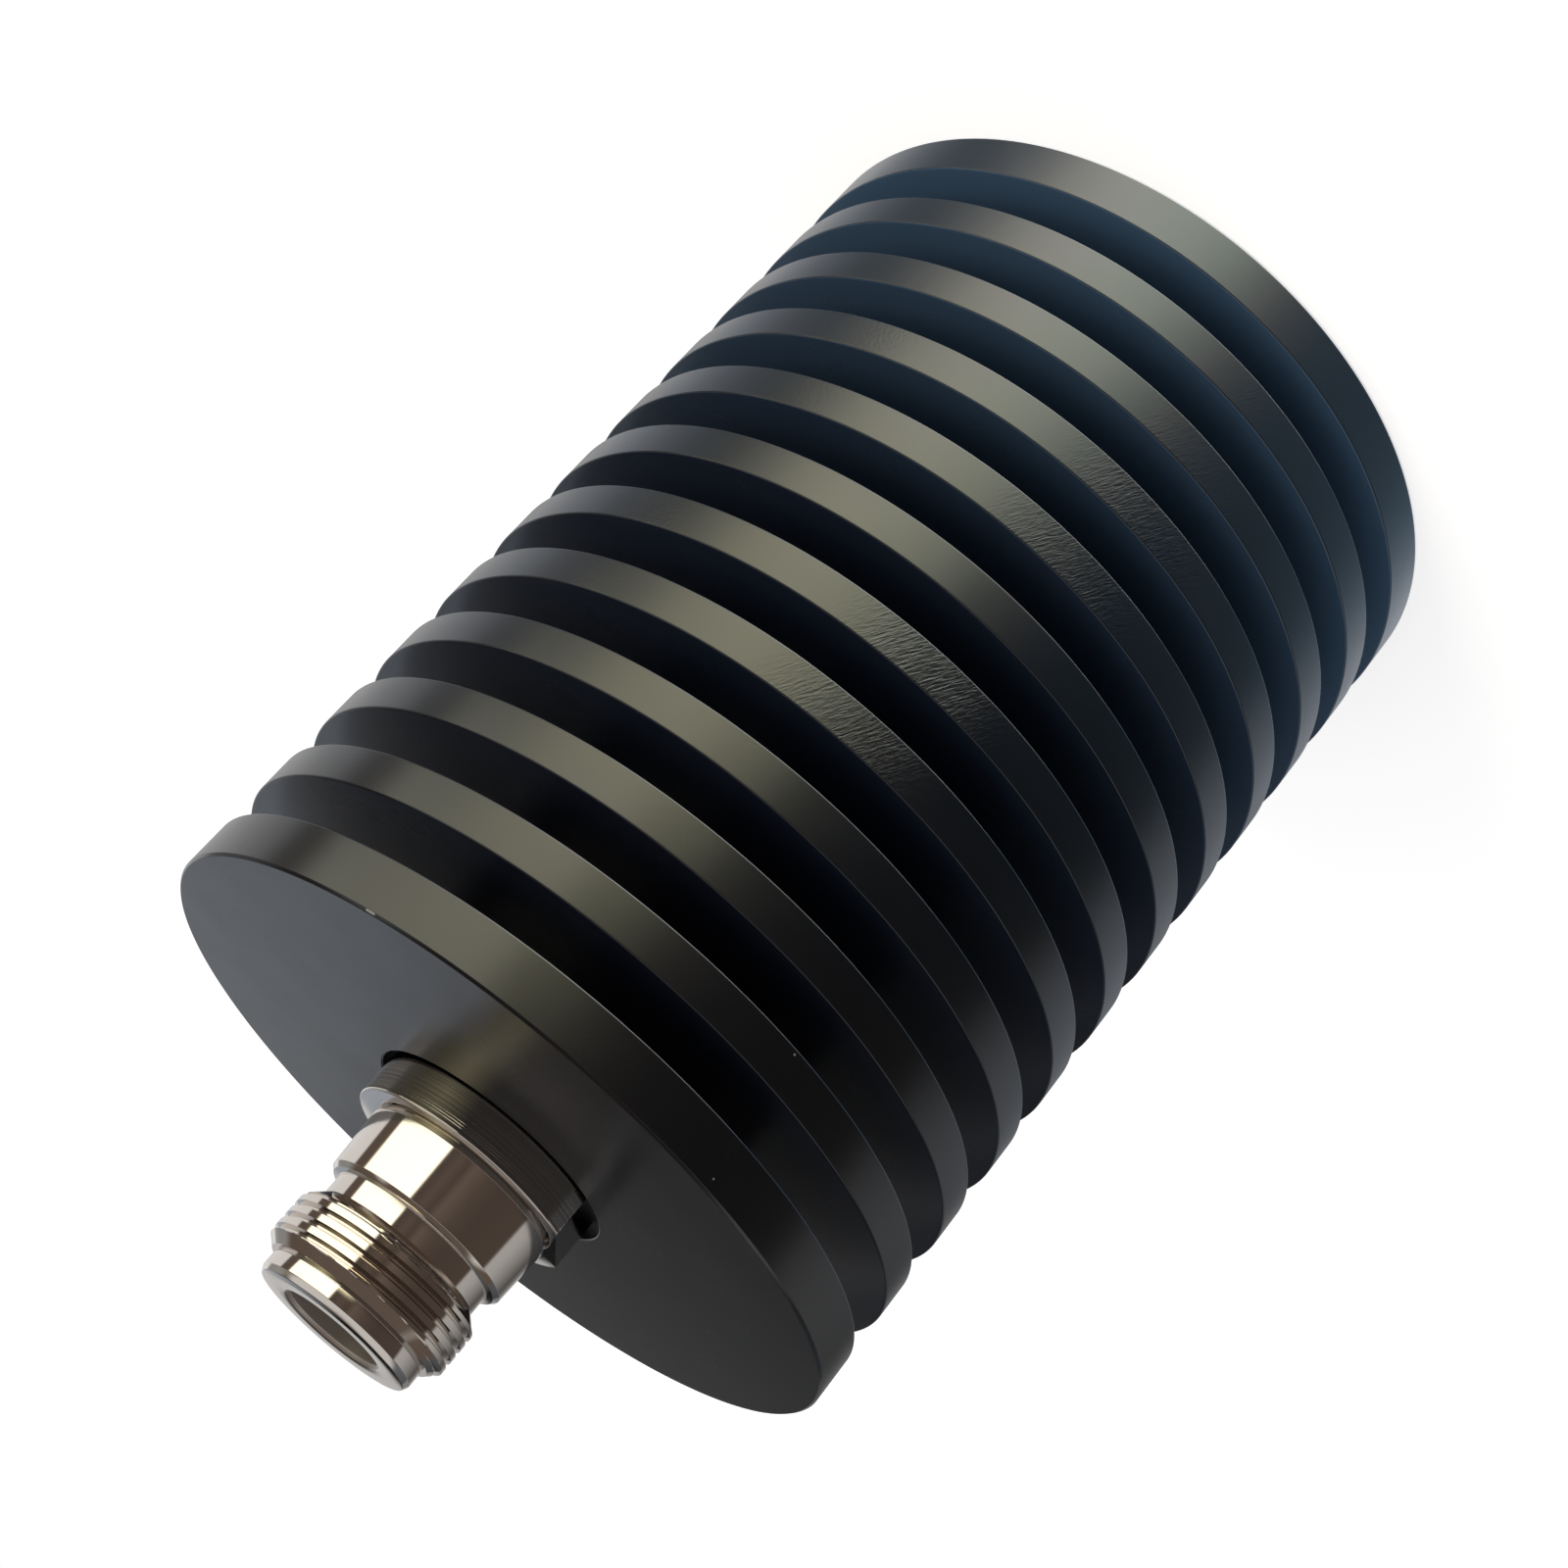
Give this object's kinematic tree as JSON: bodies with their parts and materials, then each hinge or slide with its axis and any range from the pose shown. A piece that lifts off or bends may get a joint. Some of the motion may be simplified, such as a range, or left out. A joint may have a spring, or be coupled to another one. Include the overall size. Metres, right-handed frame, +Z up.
{
  "type": "coaxial terminator",
  "caption": "Ring-finned cylindrical heat sink that ends in a threaded coaxial jack, and holds the matched load that soaks up the signal.",
  "frame": {"origin": "centre of the heat sink's plain end face, on which it stands", "axes": "+Z up the axis towards the jack; the jack's milled flat faces -X, 13 degrees towards -Y, and the lock screw's hole faces +Y"},
  "size_m": [0.06, 0.06, 0.0994],
  "materials": {
    "anodised_aluminium": "satin black anodised",
    "plain_aluminium": "turned",
    "nickel_plate": "nickel plated, bright",
    "gold_plate": "gold plated",
    "bare_brass": "turned",
    "bead_plastic": "waxy white",
    "plated_copper": "nickel plated copper",
    "alumina": "fired, matt white",
    "silver_ribbon": "silver plated",
    "stainless_steel": "plain",
    "black_steel": "black oxide"
  },
  "bodies": {
    "root": {"heat_sink": "anodised_aluminium", "connector_body": "nickel_plate", "centre_contact": "gold_plate", "front_bead": "bead_plastic", "line_spacer": "bare_brass", "rear_bead": "bead_plastic", "bead_retaining_ring": "bare_brass", "load_carrier": "plain_aluminium", "carrier_screws": "stainless_steel", "resistor_flange": "plated_copper", "resistor_substrate": "alumina", "resistor_cover": "alumina", "resistor_tab": "silver_ribbon", "flange_screw": "stainless_steel", "flange_lock_washer": "stainless_steel", "lock_grub_screw": "black_steel"}
  },
  "joints": []
}
